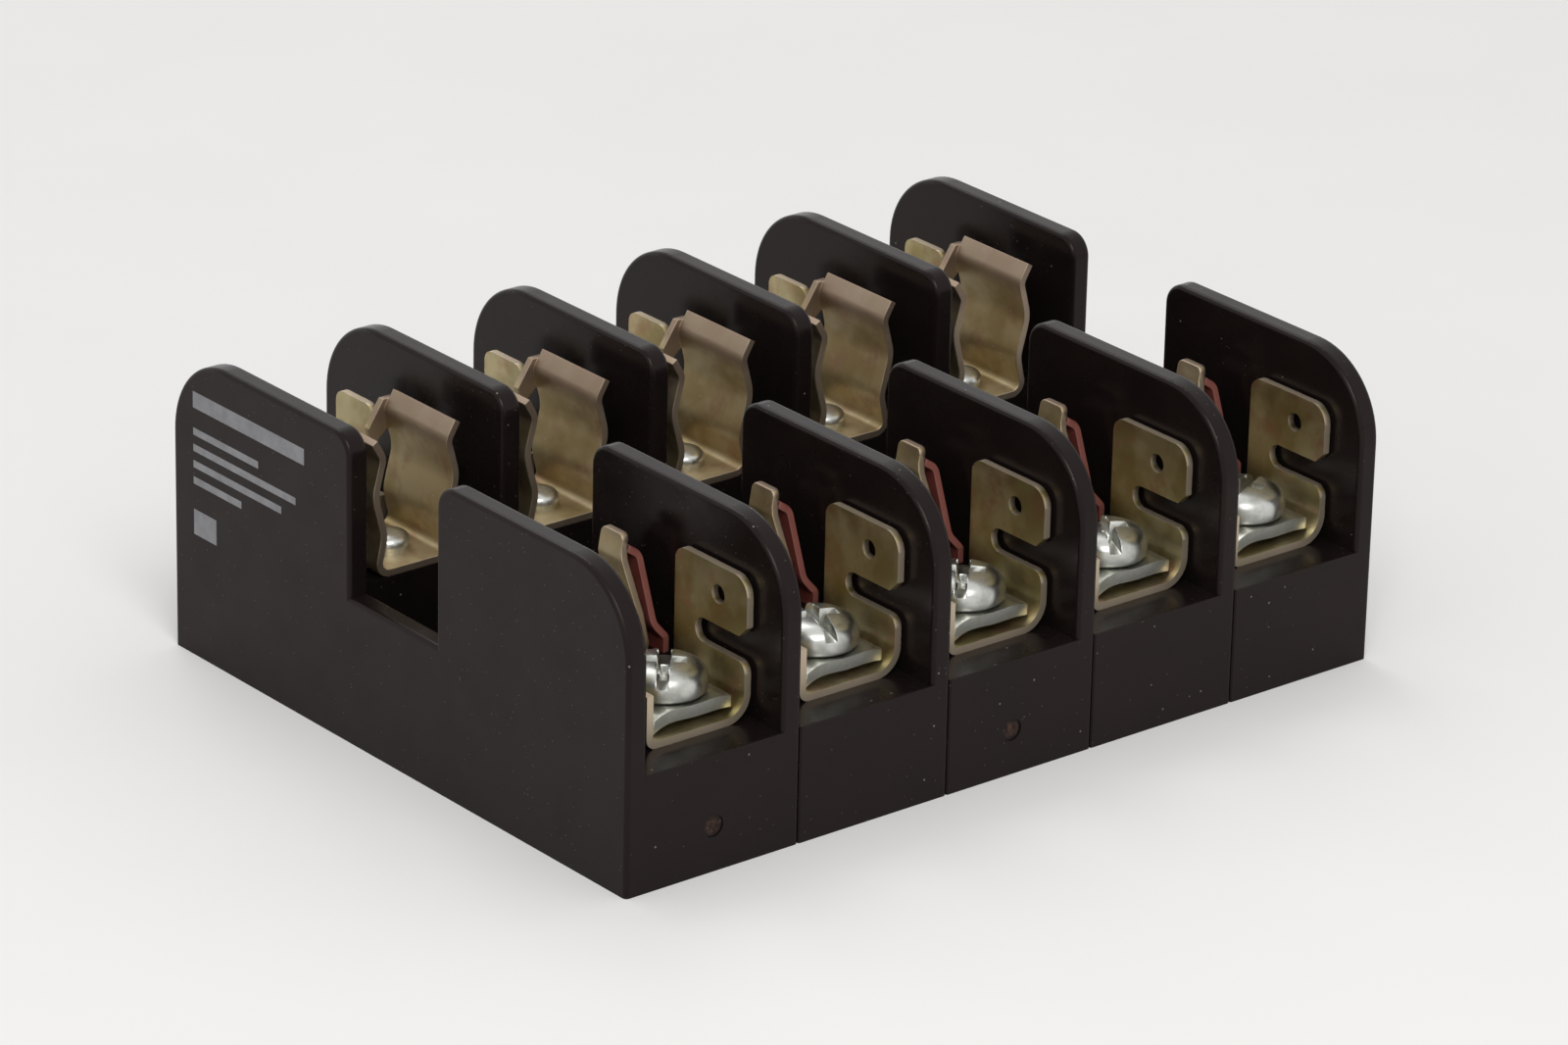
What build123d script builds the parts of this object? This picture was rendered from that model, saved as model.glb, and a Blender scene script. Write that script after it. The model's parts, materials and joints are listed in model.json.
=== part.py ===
"""Five-pole open fuse block for small cartridge fuses.

Moulded pole modules stand side by side, with a raised barrier between the poles. Each pole has a
spring clip and a screw terminal at either end. X runs along the row of poles, Y from the front
ends to the rear ends, and Z up from the mounting surface. The origin is at the middle of the
underside. A distance called a setback is measured inwards from an end face of the block.
"""
import os

from build123d import *

# Block of pole modules
POLE_COUNT = 5
POLE_PITCH = 19.05
BARRIER_THICKNESS = 2.4
BLOCK_LENGTH = 76.2
BARRIER_HEIGHT = 33.2
BARRIER_CORNER = 9.1
BARRIER_EDGE = 0.5
NOTCH_WIDTH = 14.6
NOTCH_FLOOR = 15.8
NOTCH_FLOOR_RADIUS = 2.0
NOTCH_TOP_RADIUS = 2.5
LEDGE_HEIGHT = 12.5
PLATFORM_HEIGHT = 15.2
PLATFORM_SETBACK = 16.9
RECESS_SETBACK = 27.6
RECESS_FLOOR = 4.0
MOUNTING_HOLE_RADIUS = 2.6
SEAM_CHAMFER = 0.15
CORE_DEPTH = 3.2
CORE_RIM = 2.6
EJECTOR_MARK_RADIUS = 1.2
EJECTOR_MARK_DEPTH = 0.15
EJECTOR_MARK_HEIGHT = 4.9
PEG_RADIUS = 1.8
PEG_LENGTH = 1.5
PEG_HEIGHT = 8.0
PEG_SETBACK = 21.0
PEG_CLEARANCE = 0.1

# Terminals, bent from sheet
TERMINAL_SHEET = 0.8
TERMINAL_SETBACK = 4.45
TERMINAL_DEPTH = 11.15
TERMINAL_WIDTH = 12.85
TERMINAL_GAP = 0.4
OUTER_BEND = 2.9
INNER_BEND = 1.2
WALL_START = 3.0
TAB_TOP = 27.5
TAB_HEIGHT = 6.3
TAB_SETBACK = 4.3
TAB_FRONT_RADIUS = 2.0
TAB_REAR_RADIUS = 1.5
TAB_CHAMFER = 1.15
TAB_HOLE_RADIUS = 1.0
TAB_HOLE_INSET = 4.5
TAB_HOLE_DROP = 3.0
SLOT_HEIGHT = 2.6
SLOT_END_SETBACK = 12.3
LOBE_RADIUS = 1.2
SIDE_WALL_TOP = 18.2
UPRIGHT_TAB_TOP = 27.6
UPRIGHT_TAB_WIDTH = 6.3
UPRIGHT_TAB_SETBACK = 7.9
UPRIGHT_TAB_RADIUS = 1.2
COLLAR_RADIUS = 3.2
COLLAR_HEIGHT = 2.1
WELL_CLEARANCE = 0.3
WELL_FLOOR = 5.5
TONGUE_WIDTH = 7.0
TONGUE_END_SETBACK = 25.4
TONGUE_CLEARANCE = 0.2
TONGUE_BEND = 0.4
TONGUE_START = 0.1

# Terminal screws and pressure plates
SHANK_RADIUS = 2.08
SHANK_TIP = 7.6
SHANK_CHAMFER = 0.4
SCREW_CLEARANCE = 0.06
HEAD_RADIUS = 4.4
HEAD_HEIGHT = 3.1
HEAD_RIM = 1.0
HEAD_CHAMFER = 0.3
HEAD_GAP = 0.12
DRIVE_SLOT_WIDTH = 1.25
DRIVE_SLOT_DEPTH = 1.5
CROSS_SPAN = 4.6
CROSS_WIDTH = 1.5
CROSS_DEPTH = 2.3
CROSS_TAPER = 14
PLATE_WIDTH = 9.9
PLATE_DEPTH = 9.2
PLATE_THICKNESS = 1.3
PLATE_CORNER = 0.3
PLATE_REST = 0.06
PLATE_ARCH = 0.8
PLATE_SAG = 0.1
PLATE_LEFT_SHOULDER = 2.0
PLATE_RIGHT_SHOULDER = 1.2
PLATE_LIP_DROP = 0.25
FRONT_SCREW_TURNS = (50, 73, 47, 64, 25)
REAR_SCREW_TURNS = (15, 120, 80, 160, 40)

# Fuse clips, bent from sheet
CLIP_SHEET = 0.8
CLIP_BASE_HALF = 5.3
CLIP_BASE_BEND = 1.6
CLIP_END_GAP = 0.3
LOW_PINCH_HALF = 4.3
LOW_PINCH_RISE = 4.5
BULGE_HALF = 5.5
BULGE_RISE = 4.5
TOP_PINCH_HALF = 4.45
TOP_PINCH_RISE = 3.9
LIP_HALF = 5.5
LIP_RISE = 1.8
PINCH_BEND = 3.0
BULGE_BEND = 4.5
LIP_BEND = 1.0
REAR_CLIP_LENGTH = 10.6
STOP_TAB_REACH = 3.3
STOP_TAB_TOP_DROP = 0.5
STOP_TAB_SLOPE_START = 1.4
STOP_TAB_TIP_DROP = 3.4
STOP_TAB_TIP_HEIGHT = 1.5
STOP_TAB_TIP_SLANT = 0.6
STOP_TAB_ROOT_DROP = 3.0
FRONT_PINCH_HALF = 4.65
FRONT_PINCH_RISE = 5.3
FRONT_LIP_HALF = 5.1
FRONT_LIP_RISE = 2.5
FRONT_LIP_WIDTH = 3.5
FRONT_LIP_SETBACK = 20.3
FRONT_LIP_RADIUS = 0.7
FRONT_LEAF_TAPER_GAP = 1.0
FRONT_CLIP_FOOT_HEIGHT = 17.0

# Rejection pieces beside the front clips
RED_SHEET = 0.8
RED_FOOT_HALF = 7.85
RED_FOOT_RISE = 1.8
RED_ELBOW_RISE = 1.5
RED_SHOULDER_HALF = 6.7
RED_SHOULDER_RISE = 6.7
RED_HOOK_RISE = 1.0
RED_DEPTH = 3.8
RED_BEND = 1.3
RED_GAP = 0.12

# Rivets that join a clip, a terminal's tongue and a module
RIVET_RADIUS = 1.5
RIVET_HEAD_RADIUS = 2.3
RIVET_HEAD_HEIGHT = 1.8
RIVET_SETBACK = 22.6
RIVET_TAIL_TOP = 9.0
RIVET_TAIL_RADIUS = 2.2
RIVET_TAIL_HEIGHT = 1.2
RIVET_BORE_RADIUS = 3.0
RIVET_CLEARANCE = 0.05

# Places that follow from the sizes above
half_pocket = (POLE_PITCH - BARRIER_THICKNESS) / 2
half_module = half_pocket + BARRIER_THICKNESS
front_face = -BLOCK_LENGTH / 2
terminal_right = half_pocket - TERMINAL_GAP
terminal_left = terminal_right - TERMINAL_WIDTH
terminal_front = front_face + TERMINAL_SETBACK
terminal_rear = terminal_front + TERMINAL_DEPTH
terminal_floor = LEDGE_HEIGHT + TERMINAL_SHEET
screw_x = (terminal_left + terminal_right) / 2
screw_y = (terminal_front + terminal_rear) / 2
plate_underside = terminal_floor + PLATE_REST
plate_top = plate_underside + PLATE_ARCH + PLATE_THICKNESS
head_underside = plate_top + HEAD_GAP
shank_hole_radius = SHANK_RADIUS + SCREW_CLEARANCE
platform_front = front_face + PLATFORM_SETBACK
recess_front = front_face + RECESS_SETBACK
clip_floor = PLATFORM_HEIGHT + CLIP_SHEET
low_pinch = PLATFORM_HEIGHT + LOW_PINCH_RISE
bulge = low_pinch + BULGE_RISE
top_pinch = bulge + TOP_PINCH_RISE
lip_top = top_pinch + LIP_RISE
front_pinch = low_pinch + FRONT_PINCH_RISE
front_lip_top = front_pinch + FRONT_LIP_RISE
rivet_y = front_face + RIVET_SETBACK
rivet_hole_radius = RIVET_RADIUS + RIVET_CLEARANCE
pole_places = [(index - (POLE_COUNT - 1) / 2) * POLE_PITCH for index in range(POLE_COUNT)]
both_ends = (-1, 1)


def cross_section(y):
    """Plane of a section seen from the front, at the given Y."""
    return Plane.XZ.offset(-y)


def draw_strip(points, radii, thickness):
    """Outline of a bent sheet: a line with rounded corners, and its parallel on the line's left."""
    path = [Vector(*point) for point in points]
    steps = [(end - start).normalized() for start, end in zip(path, path[1:])]
    normals = [Vector(-step.Y, step.X) for step in steps]
    parallel = [path[0] + normals[0] * thickness]
    parallel_radii = []
    for corner, before, after, radius in zip(path[1:-1], normals, normals[1:], radii):
        mitre = (before + after).normalized()
        parallel.append(corner + mitre * (thickness / mitre.dot(before)))
        turns_left = before.cross(after).Z > 0
        parallel_radii.append(radius - thickness if turns_left else radius + thickness)
    parallel.append(path[-1] + normals[-1] * thickness)
    with BuildLine() as strip:
        near = FilletPolyline(*path, radius=radii)
        far = FilletPolyline(*parallel, radius=parallel_radii)
        Line(near @ 0, far @ 0)
        Line(near @ 1, far @ 1)
    make_face(strip.edges())


def save(piece, name, location):
    """Write one finished piece at its place in the block."""
    placed = piece.moved(location)
    placed.label = name
    export_step(placed, f"parts/{name}.step")


def draw_barrier():
    """Barrier seen from the side: two lobes with large outer corners, and a notch between."""
    with BuildSketch() as lobes:
        Rectangle(BLOCK_LENGTH, BARRIER_HEIGHT, align=(Align.CENTER, Align.MIN))
        fillet(lobes.vertices().group_by(Axis.Y)[-1], BARRIER_CORNER)
        with Locations((0, NOTCH_FLOOR)):
            Rectangle(NOTCH_WIDTH, BARRIER_HEIGHT, align=(Align.CENTER, Align.MIN), mode=Mode.SUBTRACT)
        notch = lobes.vertices().filter_by_position(Axis.X, -NOTCH_WIDTH / 2, NOTCH_WIDTH / 2)
        fillet(notch.filter_by_position(Axis.Y, NOTCH_FLOOR, NOTCH_FLOOR), NOTCH_FLOOR_RADIUS)
        notch = lobes.vertices().filter_by_position(Axis.X, -NOTCH_WIDTH / 2, NOTCH_WIDTH / 2)
        fillet(notch.filter_by_position(Axis.Y, BARRIER_HEIGHT, BARRIER_HEIGHT), NOTCH_TOP_RADIUS)
    return lobes.sketch


barrier_outline = draw_barrier()


def make_module(left_edge, barriers, has_pegs, has_mark):
    """One moulded pole module from left_edge to its right barrier's outer face."""
    width = half_module - left_edge
    with BuildPart() as module:
        with BuildSketch(Plane.YZ.offset(left_edge)):
            with BuildLine():
                Polyline(
                    (front_face, 0),
                    (-front_face, 0),
                    (-front_face, LEDGE_HEIGHT),
                    (-platform_front, LEDGE_HEIGHT),
                    (-platform_front, PLATFORM_HEIGHT),
                    (-recess_front, PLATFORM_HEIGHT),
                    (-recess_front, RECESS_FLOOR),
                    (recess_front, RECESS_FLOOR),
                    (recess_front, PLATFORM_HEIGHT),
                    (platform_front, PLATFORM_HEIGHT),
                    (platform_front, LEDGE_HEIGHT),
                    (front_face, LEDGE_HEIGHT),
                    close=True,
                )
            make_face()
        extrude(amount=width)
        for barrier_x in barriers:
            with BuildSketch(Plane.YZ.offset(barrier_x)):
                add(barrier_outline)
            extrude(amount=BARRIER_THICKNESS)
        sides = module.faces().filter_by(Axis.X)
        barrier_sides = sides.filter_by(lambda face: face.bounding_box().max.Z > PLATFORM_HEIGHT)
        top_edges = barrier_sides.edges().filter_by(lambda edge: (edge @ 0.5).Z > NOTCH_FLOOR - BARRIER_EDGE)
        fillet(top_edges, BARRIER_EDGE)
        # Small bevels where two modules meet at an end face
        for end in both_ends:
            with Locations((half_module, end * front_face, 0), (left_edge, end * front_face, 0)):
                Box(
                    SEAM_CHAMFER * 2**0.5,
                    SEAM_CHAMFER * 2**0.5,
                    BARRIER_HEIGHT - BARRIER_CORNER,
                    rotation=(0, 0, 45),
                    align=(Align.CENTER, Align.CENTER, Align.MIN),
                    mode=Mode.SUBTRACT,
                )
        # Wells below the terminal screws
        with Locations((screw_x, screw_y, LEDGE_HEIGHT), (-screw_x, -screw_y, LEDGE_HEIGHT)):
            Hole(COLLAR_RADIUS + WELL_CLEARANCE, depth=LEDGE_HEIGHT - WELL_FLOOR)
        # Shallow grooves that hold the terminals' tongues flush with the platforms
        groove_end = front_face + TONGUE_END_SETBACK + TONGUE_CLEARANCE
        groove_length = groove_end - platform_front
        for end in both_ends:
            with Locations((0, end * (groove_end - groove_length / 2), PLATFORM_HEIGHT)):
                Box(
                    TONGUE_WIDTH + 2 * TONGUE_CLEARANCE,
                    groove_length,
                    TERMINAL_SHEET,
                    align=(Align.CENTER, Align.CENTER, Align.MAX),
                    mode=Mode.SUBTRACT,
                )
        # Rivet holes, wider below for the rivets' tails
        with Locations((0, rivet_y, PLATFORM_HEIGHT), (0, -rivet_y, PLATFORM_HEIGHT)):
            Hole(rivet_hole_radius, depth=PLATFORM_HEIGHT)
        for end in both_ends:
            with Locations((0, end * rivet_y, 0)):
                Cylinder(
                    RIVET_BORE_RADIUS,
                    RIVET_TAIL_TOP,
                    align=(Align.CENTER, Align.CENTER, Align.MIN),
                    mode=Mode.SUBTRACT,
                )
        # Mounting hole in the recess between the clips
        with Locations((0, 0, RECESS_FLOOR)):
            Hole(MOUNTING_HOLE_RADIUS, depth=RECESS_FLOOR)
        # Cored underside at both ends
        core_length = RECESS_SETBACK - 2 * CORE_RIM
        for end in both_ends:
            with Locations((0, end * (front_face + CORE_RIM + core_length / 2), 0)):
                Box(
                    2 * (half_pocket - CORE_RIM / 2),
                    core_length,
                    CORE_DEPTH,
                    align=(Align.CENTER, Align.CENTER, Align.MIN),
                    mode=Mode.SUBTRACT,
                )
        # Sockets in the right face take the next module's pegs
        for end in both_ends:
            with Locations((half_module, end * (front_face + PEG_SETBACK), PEG_HEIGHT)):
                Cylinder(
                    PEG_RADIUS + PEG_CLEARANCE,
                    PEG_LENGTH + PEG_CLEARANCE,
                    rotation=(0, 90, 0),
                    align=(Align.CENTER, Align.CENTER, Align.MAX),
                    mode=Mode.SUBTRACT,
                )
        if has_pegs:
            for end in both_ends:
                with Locations((left_edge, end * (front_face + PEG_SETBACK), PEG_HEIGHT)):
                    Cylinder(
                        PEG_RADIUS,
                        PEG_LENGTH,
                        rotation=(0, 90, 0),
                        align=(Align.CENTER, Align.CENTER, Align.MAX),
                    )
        if has_mark:
            with BuildSketch(cross_section(front_face)):
                with Locations((0, EJECTOR_MARK_HEIGHT)):
                    Circle(EJECTOR_MARK_RADIUS)
            extrude(amount=-EJECTOR_MARK_DEPTH, mode=Mode.SUBTRACT)
    return module.part


# Terminal: a sheet bent into a trough, with one flat tab, one upright tab and a tongue
with BuildPart() as terminal:
    stub_top = LEDGE_HEIGHT + WALL_START
    with BuildSketch(cross_section(terminal_rear)):
        draw_strip(
            [
                (terminal_left, stub_top),
                (terminal_left, LEDGE_HEIGHT),
                (terminal_right, LEDGE_HEIGHT),
                (terminal_right, stub_top),
            ],
            [INNER_BEND, OUTER_BEND],
            TERMINAL_SHEET,
        )
    extrude(amount=TERMINAL_DEPTH)
    # Right wall with the flat quick-connect tab above a slot
    slot_top = TAB_TOP - TAB_HEIGHT
    slot_floor = slot_top - SLOT_HEIGHT
    tab_front = front_face + TAB_SETBACK
    with BuildSketch(Plane.YZ.offset(terminal_right - TERMINAL_SHEET)) as tab_wall:
        with BuildLine():
            Polyline(
                (terminal_rear, stub_top),
                (terminal_rear, TAB_TOP),
                (tab_front, TAB_TOP),
                (tab_front, slot_top + TAB_CHAMFER),
                (tab_front + TAB_CHAMFER, slot_top),
                (terminal_front + TAB_CHAMFER, slot_floor),
                (terminal_front, slot_floor),
                (terminal_front, stub_top),
                close=True,
            )
        make_face()
        slot_middle = (slot_top + slot_floor) / 2
        slot_end = front_face + SLOT_END_SETBACK - SLOT_HEIGHT / 2
        with Locations((slot_end, slot_middle)):
            Rectangle(
                slot_end - front_face,
                SLOT_HEIGHT,
                align=(Align.MAX, Align.CENTER),
                mode=Mode.SUBTRACT,
            )
            Circle(SLOT_HEIGHT / 2, mode=Mode.SUBTRACT)
        with Locations((tab_front + TAB_HOLE_INSET, TAB_TOP - TAB_HOLE_DROP)):
            Circle(TAB_HOLE_RADIUS, mode=Mode.SUBTRACT)
        top_corners = tab_wall.vertices().group_by(Axis.Y)[-1].sort_by(Axis.X)
        fillet(top_corners[0], TAB_FRONT_RADIUS)
        fillet(tab_wall.vertices().group_by(Axis.Y)[-1].sort_by(Axis.X)[-1], TAB_REAR_RADIUS)
        lobe_corner = tab_wall.vertices().sort_by_distance((terminal_front, slot_floor))[0]
        fillet(lobe_corner, LOBE_RADIUS)
    extrude(amount=TERMINAL_SHEET)
    # Left wall, low, with the upright quick-connect tab
    with BuildSketch(Plane.YZ.offset(terminal_left)) as upright_wall:
        with Locations((terminal_front, stub_top)):
            Rectangle(TERMINAL_DEPTH, SIDE_WALL_TOP - stub_top, align=(Align.MIN, Align.MIN))
        with Locations((front_face + UPRIGHT_TAB_SETBACK, stub_top)):
            Rectangle(UPRIGHT_TAB_WIDTH, UPRIGHT_TAB_TOP - stub_top, align=(Align.MIN, Align.MIN))
        fillet(upright_wall.vertices().group_by(Axis.Y)[-1], UPRIGHT_TAB_RADIUS)
    extrude(amount=TERMINAL_SHEET)
    # Tongue that steps up to the platform and lies under the clip
    step = PLATFORM_HEIGHT - terminal_floor
    with BuildSketch(Plane.YZ.offset(-TONGUE_WIDTH / 2)):
        draw_strip(
            [
                (terminal_rear - TERMINAL_SHEET, LEDGE_HEIGHT),
                (terminal_rear + TONGUE_START, LEDGE_HEIGHT),
                (platform_front - TONGUE_BEND, LEDGE_HEIGHT + step),
                (front_face + TONGUE_END_SETBACK, LEDGE_HEIGHT + step),
            ],
            [TONGUE_BEND + TERMINAL_SHEET, TONGUE_BEND],
            TERMINAL_SHEET,
        )
    extrude(amount=TONGUE_WIDTH)
    with Locations((0, rivet_y, PLATFORM_HEIGHT)):
        Hole(rivet_hole_radius, depth=TERMINAL_SHEET)
    # Tapped collar drawn down from the floor
    with Locations((screw_x, screw_y, LEDGE_HEIGHT)):
        Cylinder(COLLAR_RADIUS, COLLAR_HEIGHT, align=(Align.CENTER, Align.CENTER, Align.MAX))
    with Locations((screw_x, screw_y, terminal_floor)):
        Hole(shank_hole_radius, depth=COLLAR_HEIGHT + TERMINAL_SHEET)

# Pressure plate: a thick arched washer plate whose left edge turns down
with BuildPart() as pressure_plate:
    left = -PLATE_WIDTH / 2
    right = PLATE_WIDTH / 2
    arch = plate_underside + PLATE_ARCH
    with BuildSketch(cross_section(PLATE_DEPTH / 2)):
        with BuildLine():
            underside = Spline(
                (left, plate_underside),
                (left + PLATE_LEFT_SHOULDER, arch),
                (0, arch - PLATE_SAG),
                (right - PLATE_RIGHT_SHOULDER, arch - PLATE_SAG),
                (right, arch - PLATE_LIP_DROP),
            )
            top = Spline(
                (left, plate_underside + PLATE_THICKNESS),
                (left + PLATE_LEFT_SHOULDER, plate_top),
                (0, plate_top - PLATE_SAG),
                (right - PLATE_RIGHT_SHOULDER, plate_top - PLATE_SAG),
                (right, plate_top - PLATE_THICKNESS / 2 + PLATE_LIP_DROP),
            )
            Line(underside @ 0, top @ 0)
            Line(underside @ 1, top @ 1)
        make_face()
    extrude(amount=PLATE_DEPTH)
    end_edges = pressure_plate.edges().filter_by(lambda edge: edge.length < 2 * PLATE_THICKNESS)
    fillet(end_edges, PLATE_CORNER)
    with Locations((0, 0, plate_top)):
        Hole(shank_hole_radius, depth=PLATE_THICKNESS + PLATE_ARCH)

# Terminal screw: a plain shank under a domed head with a slot and a cross recess
with BuildPart() as terminal_screw:
    head_top = head_underside + HEAD_HEIGHT
    with BuildSketch(Plane.XZ):
        with BuildLine():
            rim_line = Polyline(
                (0, SHANK_TIP),
                (SHANK_RADIUS - SHANK_CHAMFER, SHANK_TIP),
                (SHANK_RADIUS, SHANK_TIP + SHANK_CHAMFER),
                (SHANK_RADIUS, head_underside),
                (HEAD_RADIUS - HEAD_CHAMFER, head_underside),
                (HEAD_RADIUS, head_underside + HEAD_CHAMFER),
                (HEAD_RADIUS, head_underside + HEAD_RIM),
            )
            dome = Spline(rim_line @ 1, (0, head_top), tangents=((0, 1), (-1, 0)))
            Line(dome @ 1, rim_line @ 0)
        make_face()
    revolve(axis=Axis.Z)
    with Locations((0, 0, head_top)):
        Box(
            2 * HEAD_RADIUS,
            DRIVE_SLOT_WIDTH,
            2 * DRIVE_SLOT_DEPTH,
            mode=Mode.SUBTRACT,
        )
    with BuildSketch(Plane.XY.offset(head_top)):
        Rectangle(CROSS_SPAN, CROSS_WIDTH)
        Rectangle(CROSS_WIDTH, CROSS_SPAN)
    extrude(amount=-CROSS_DEPTH, taper=CROSS_TAPER, mode=Mode.SUBTRACT)

# Rear clip: two full-height leaves that hold the fuse's end cap, with stop tabs at the outer end
with BuildPart() as rear_clip:
    clip_rear = -platform_front
    clip_front = clip_rear - REAR_CLIP_LENGTH
    with BuildSketch(cross_section(clip_rear)):
        draw_strip(
            [
                (-LIP_HALF, lip_top),
                (-TOP_PINCH_HALF, top_pinch),
                (-BULGE_HALF, bulge),
                (-LOW_PINCH_HALF, low_pinch),
                (-CLIP_BASE_HALF, PLATFORM_HEIGHT),
                (CLIP_BASE_HALF, PLATFORM_HEIGHT),
                (LOW_PINCH_HALF, low_pinch),
                (BULGE_HALF, bulge),
                (TOP_PINCH_HALF, top_pinch),
                (LIP_HALF, lip_top),
            ],
            [
                LIP_BEND,
                BULGE_BEND,
                PINCH_BEND,
                CLIP_BASE_BEND,
                CLIP_BASE_BEND,
                PINCH_BEND,
                BULGE_BEND,
                LIP_BEND,
            ],
            CLIP_SHEET,
        )
    extrude(amount=REAR_CLIP_LENGTH)
    root_x = (TOP_PINCH_HALF + LIP_HALF) / 2
    tip_x = root_x - STOP_TAB_REACH
    tab_top = lip_top - STOP_TAB_TOP_DROP
    tip_foot = lip_top - STOP_TAB_TIP_DROP - STOP_TAB_TIP_HEIGHT
    for side in both_ends:
        with BuildSketch(cross_section(clip_rear + CLIP_SHEET)):
            with BuildLine():
                Polyline(
                    (side * root_x, tab_top),
                    (side * (root_x - STOP_TAB_SLOPE_START), tab_top),
                    (side * tip_x, lip_top - STOP_TAB_TIP_DROP),
                    (side * (tip_x + STOP_TAB_TIP_SLANT), tip_foot),
                    (side * (tip_x + 2 * STOP_TAB_TIP_SLANT), tip_foot),
                    (side * root_x, lip_top - STOP_TAB_ROOT_DROP),
                    close=True,
                )
            make_face()
        extrude(amount=CLIP_SHEET)
    with Locations((0, -rivet_y, clip_floor)):
        Hole(rivet_hole_radius, depth=CLIP_SHEET)

# Front clip: narrow leaves that widen towards the base
with BuildPart() as front_clip:
    foot_front = platform_front + CLIP_END_GAP
    foot_rear = recess_front - CLIP_END_GAP
    lip_front = front_face + FRONT_LIP_SETBACK
    lip_rear = lip_front + FRONT_LIP_WIDTH
    with BuildSketch(cross_section(foot_rear)):
        draw_strip(
            [
                (-FRONT_LIP_HALF, front_lip_top),
                (-FRONT_PINCH_HALF, front_pinch),
                (-CLIP_BASE_HALF, low_pinch),
                (-CLIP_BASE_HALF, PLATFORM_HEIGHT),
                (CLIP_BASE_HALF, PLATFORM_HEIGHT),
                (CLIP_BASE_HALF, low_pinch),
                (FRONT_PINCH_HALF, front_pinch),
                (FRONT_LIP_HALF, front_lip_top),
            ],
            [LIP_BEND, BULGE_BEND, CLIP_BASE_BEND, CLIP_BASE_BEND, BULGE_BEND, LIP_BEND],
            CLIP_SHEET,
        )
    extrude(amount=foot_rear - foot_front)
    with BuildSketch(Plane.YZ.offset(-half_pocket)) as leaf_outline:
        with BuildLine():
            Polyline(
                (foot_front, LEDGE_HEIGHT),
                (foot_front, FRONT_CLIP_FOOT_HEIGHT),
                (lip_front, front_pinch + FRONT_LEAF_TAPER_GAP),
                (lip_front, front_lip_top),
                (lip_rear, front_lip_top),
                (lip_rear, front_pinch - FRONT_LEAF_TAPER_GAP),
                (foot_rear, FRONT_CLIP_FOOT_HEIGHT),
                (foot_rear, LEDGE_HEIGHT),
                close=True,
            )
        make_face()
        fillet(leaf_outline.vertices().group_by(Axis.Y)[-1], FRONT_LIP_RADIUS)
    extrude(amount=2 * half_pocket, mode=Mode.INTERSECT)
    with Locations((0, rivet_y, clip_floor)):
        Hole(rivet_hole_radius, depth=CLIP_SHEET)

# Rejection piece: a red bent sheet that leans on the front clip's right leaf
with BuildPart() as rejection_piece:
    red_rear = lip_front + RED_DEPTH
    red_foot_top = PLATFORM_HEIGHT + RED_FOOT_RISE
    red_elbow = red_foot_top + RED_ELBOW_RISE
    red_shoulder = red_elbow + RED_SHOULDER_RISE
    with BuildSketch(cross_section(red_rear)):
        draw_strip(
            [
                (RED_FOOT_HALF, PLATFORM_HEIGHT),
                (RED_FOOT_HALF, red_foot_top),
                (RED_SHOULDER_HALF, red_elbow),
                (RED_SHOULDER_HALF, red_shoulder),
                (FRONT_PINCH_HALF + RED_SHEET / 2 + RED_GAP, red_shoulder + RED_HOOK_RISE),
            ],
            [RED_BEND, RED_BEND, RED_BEND],
            RED_SHEET,
        )
    extrude(amount=red_rear - foot_front)
    with BuildSketch(Plane.YZ) as red_outline:
        with BuildLine():
            Polyline(
                (foot_front, PLATFORM_HEIGHT),
                (foot_front, red_foot_top),
                (lip_front, red_shoulder),
                (lip_front, BARRIER_HEIGHT),
                (red_rear, BARRIER_HEIGHT),
                (red_rear, PLATFORM_HEIGHT),
                close=True,
            )
        make_face()
    extrude(amount=half_pocket, mode=Mode.INTERSECT)

# Rivets, one through each clip's base
with BuildPart() as clip_rivets:
    rivet_places = [(x, end * rivet_y, 0) for x in pole_places for end in both_ends]
    with BuildSketch(Plane.XZ) as rivet_section:
        with BuildLine():
            tail = Polyline(
                (0, RIVET_TAIL_TOP - RIVET_TAIL_HEIGHT),
                (RIVET_TAIL_RADIUS, RIVET_TAIL_TOP - RIVET_TAIL_HEIGHT),
                (RIVET_TAIL_RADIUS, RIVET_TAIL_TOP),
                (RIVET_RADIUS, RIVET_TAIL_TOP),
                (RIVET_RADIUS, clip_floor),
                (RIVET_HEAD_RADIUS, clip_floor),
                (RIVET_HEAD_RADIUS, clip_floor + RIVET_HEAD_HEIGHT / 3),
            )
            crown = Spline(tail @ 1, (0, clip_floor + RIVET_HEAD_HEIGHT), tangents=((0, 1), (-1, 0)))
            Line(crown @ 1, tail @ 0)
        make_face()
    one_rivet = revolve(axis=Axis.Z, mode=Mode.PRIVATE)
    with Locations(*rivet_places):
        add(one_rivet)

os.makedirs("parts", exist_ok=True)

end_module = make_module(-half_module, (-half_module, half_pocket), has_pegs=False, has_mark=True)
plain_module = make_module(-half_pocket, (half_pocket,), has_pegs=True, has_mark=False)
marked_module = make_module(-half_pocket, (half_pocket,), has_pegs=True, has_mark=True)

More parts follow.
